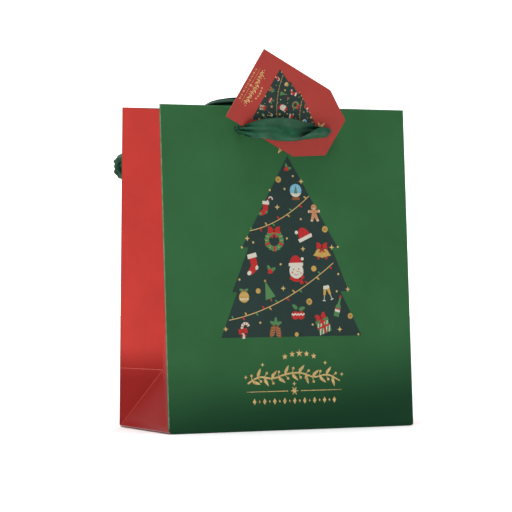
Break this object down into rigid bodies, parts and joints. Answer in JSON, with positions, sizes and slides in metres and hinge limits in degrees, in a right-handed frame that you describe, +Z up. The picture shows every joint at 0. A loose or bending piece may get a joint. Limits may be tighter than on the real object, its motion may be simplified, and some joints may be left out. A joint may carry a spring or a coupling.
{
  "type": "gift bag",
  "caption": "Open folded-paper gift bag with side gussets, satin ribbon handles through punched holes, a loose base board and a swivelling swing tag.",
  "frame": {"origin": "centre of the base, on the surface that the bag stands on", "axes": "+Z up, +Y from the printed front panel to the back panel, +X to the right seen from the front"},
  "size_m": [0.2, 0.1028, 0.2692],
  "materials": {
    "green_paper": "matt laminated, printed dark green",
    "red_paper": "matt laminated, printed red",
    "grey_board": "uncoated recycled board",
    "satin_ribbon": "dark green woven satin",
    "tag_card": "matt laminated card, printed red"
  },
  "bodies": {
    "bag": {"front_panel": "green_paper", "back_panel": "green_paper", "front_turn_in": "green_paper", "back_turn_in": "green_paper", "base_back_flap": "green_paper", "base_front_flap": "green_paper", "left_gusset": "red_paper", "right_gusset": "red_paper", "seam_flap": "red_paper", "left_turn_in": "red_paper", "right_turn_in": "red_paper", "base_left_flap": "red_paper", "base_right_flap": "red_paper", "front_card_strip": "grey_board", "back_card_strip": "grey_board", "front_ribbon_run": "satin_ribbon", "back_ribbon_passes": "satin_ribbon"},
    "base_board": {"base_board": "grey_board"},
    "tag": {"gift_tag": "tag_card"},
    "front_loop": {"front_ribbon_loop": "satin_ribbon", "front_ribbon_knot": "satin_ribbon"},
    "back_arch": {"back_ribbon_arch": "satin_ribbon"},
    "back_loop": {"back_ribbon_loop": "satin_ribbon", "back_ribbon_knot": "satin_ribbon"}
  },
  "joints": [
    {"name": "tag_swivel", "type": "hinge", "parent": "bag", "child": "tag", "pos_m": [0.0292, -0.03537, 0.21199], "axis": [0.0274, 0.974, 0.2251], "range_deg": [0, 115]},
    {"name": "front_loop_swing", "type": "hinge", "parent": "bag", "child": "front_loop", "pos_m": [0, -0.0236, 0.2127], "axis": [1, 0, 0], "range_deg": [0, 175]},
    {"name": "back_arch_swing", "type": "hinge", "parent": "bag", "child": "back_arch", "pos_m": [0, 0.0329, 0.2133], "axis": [1, 0, 0], "range_deg": [0, 60]},
    {"name": "back_loop_swing", "type": "hinge", "parent": "bag", "child": "back_loop", "pos_m": [0, 0.0422, 0.2135], "axis": [1, 0, 0], "range_deg": [0, 70]},
    {"name": "board_lift", "type": "slide", "parent": "bag", "child": "base_board", "axis": [0, 0, 1], "range_m": [0, 0.005]}
  ]
}
